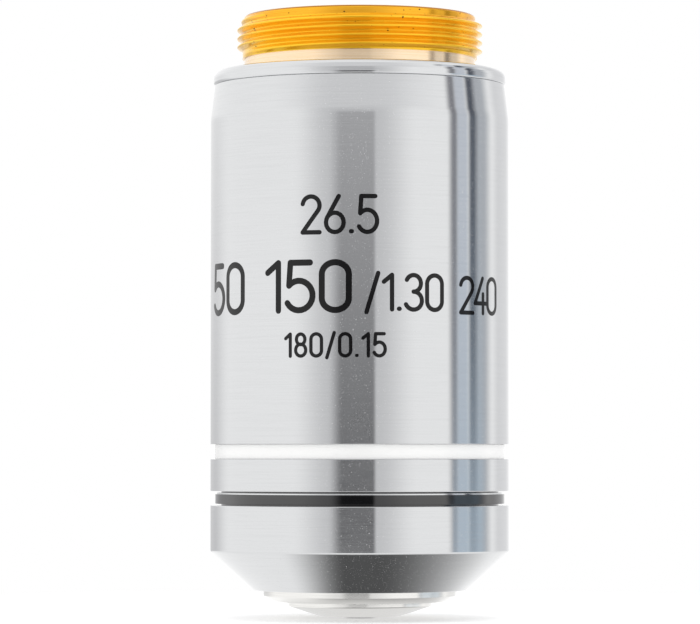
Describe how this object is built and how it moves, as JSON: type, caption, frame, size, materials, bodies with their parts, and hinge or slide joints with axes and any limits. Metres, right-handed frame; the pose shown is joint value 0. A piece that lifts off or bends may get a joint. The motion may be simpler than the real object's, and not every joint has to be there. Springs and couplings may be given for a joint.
{
  "type": "microscope objective",
  "caption": "Oil-immersion phase-contrast microscope objective with a screw mount and a spring-loaded lens barrel that retracts into its chromed housing.",
  "frame": {"origin": "on the optical axis, in the plane of the shoulder that seats on the nosepiece", "axes": "+Z along the optical axis, from the front lens towards the eyepiece; +X towards the guide screw; the object keeps the frame it has when screwed in a nosepiece, front lens down"},
  "size_m": [0.0246, 0.0246, 0.0494],
  "materials": {
    "gold_brass": "turned and gold lacquered",
    "polished_chrome": "turned and polished chrome plate",
    "turned_chrome": "fine turned chrome plate with faint tool lines",
    "white_enamel": "glossy white enamel",
    "black_enamel": "glossy black enamel",
    "spring_steel": "drawn and polished",
    "black_anodised": "matt black anodised",
    "optical_glass": "polished and coated",
    "phase_film": "evaporated dark metal film"
  },
  "bodies": {
    "housing": {"thread_ring": "gold_brass", "main_body": "polished_chrome", "outer_sleeve": "turned_chrome", "white_band": "white_enamel", "black_ring": "black_enamel", "front_cap": "turned_chrome", "return_spring": "spring_steel"},
    "barrel": {"front_mount": "polished_chrome", "lens_barrel": "turned_chrome", "centring_screws": "spring_steel", "guide_screw": "spring_steel", "meniscus_cell": "black_anodised", "singlet_cell": "black_anodised", "doublet_cell": "black_anodised", "triplet_cell": "black_anodised", "stop_spacer": "black_anodised", "rear_doublet_cell": "black_anodised", "phase_cell": "black_anodised", "corrector_cell": "black_anodised", "rear_lens_cell": "black_anodised", "retaining_ring": "black_anodised", "front_lens": "optical_glass", "meniscus_lens": "optical_glass", "singlet_lens": "optical_glass", "doublet_flint": "optical_glass", "doublet_crown": "optical_glass", "triplet_lower_crown": "optical_glass", "triplet_flint": "optical_glass", "triplet_upper_crown": "optical_glass", "rear_doublet_crown": "optical_glass", "rear_doublet_flint": "optical_glass", "phase_plate_lower": "optical_glass", "phase_plate_upper": "optical_glass", "corrector_crown": "optical_glass", "corrector_flint": "optical_glass", "rear_lens": "optical_glass", "phase_annulus": "phase_film"}
  },
  "joints": [
    {"name": "nose_retract", "type": "slide", "parent": "housing", "child": "barrel", "axis": [0, 0, 1], "range_m": [0, 0.0018], "stiffness_N_per_m": 267, "springref_m": -0.0039, "deforming": ["return_spring"]}
  ]
}
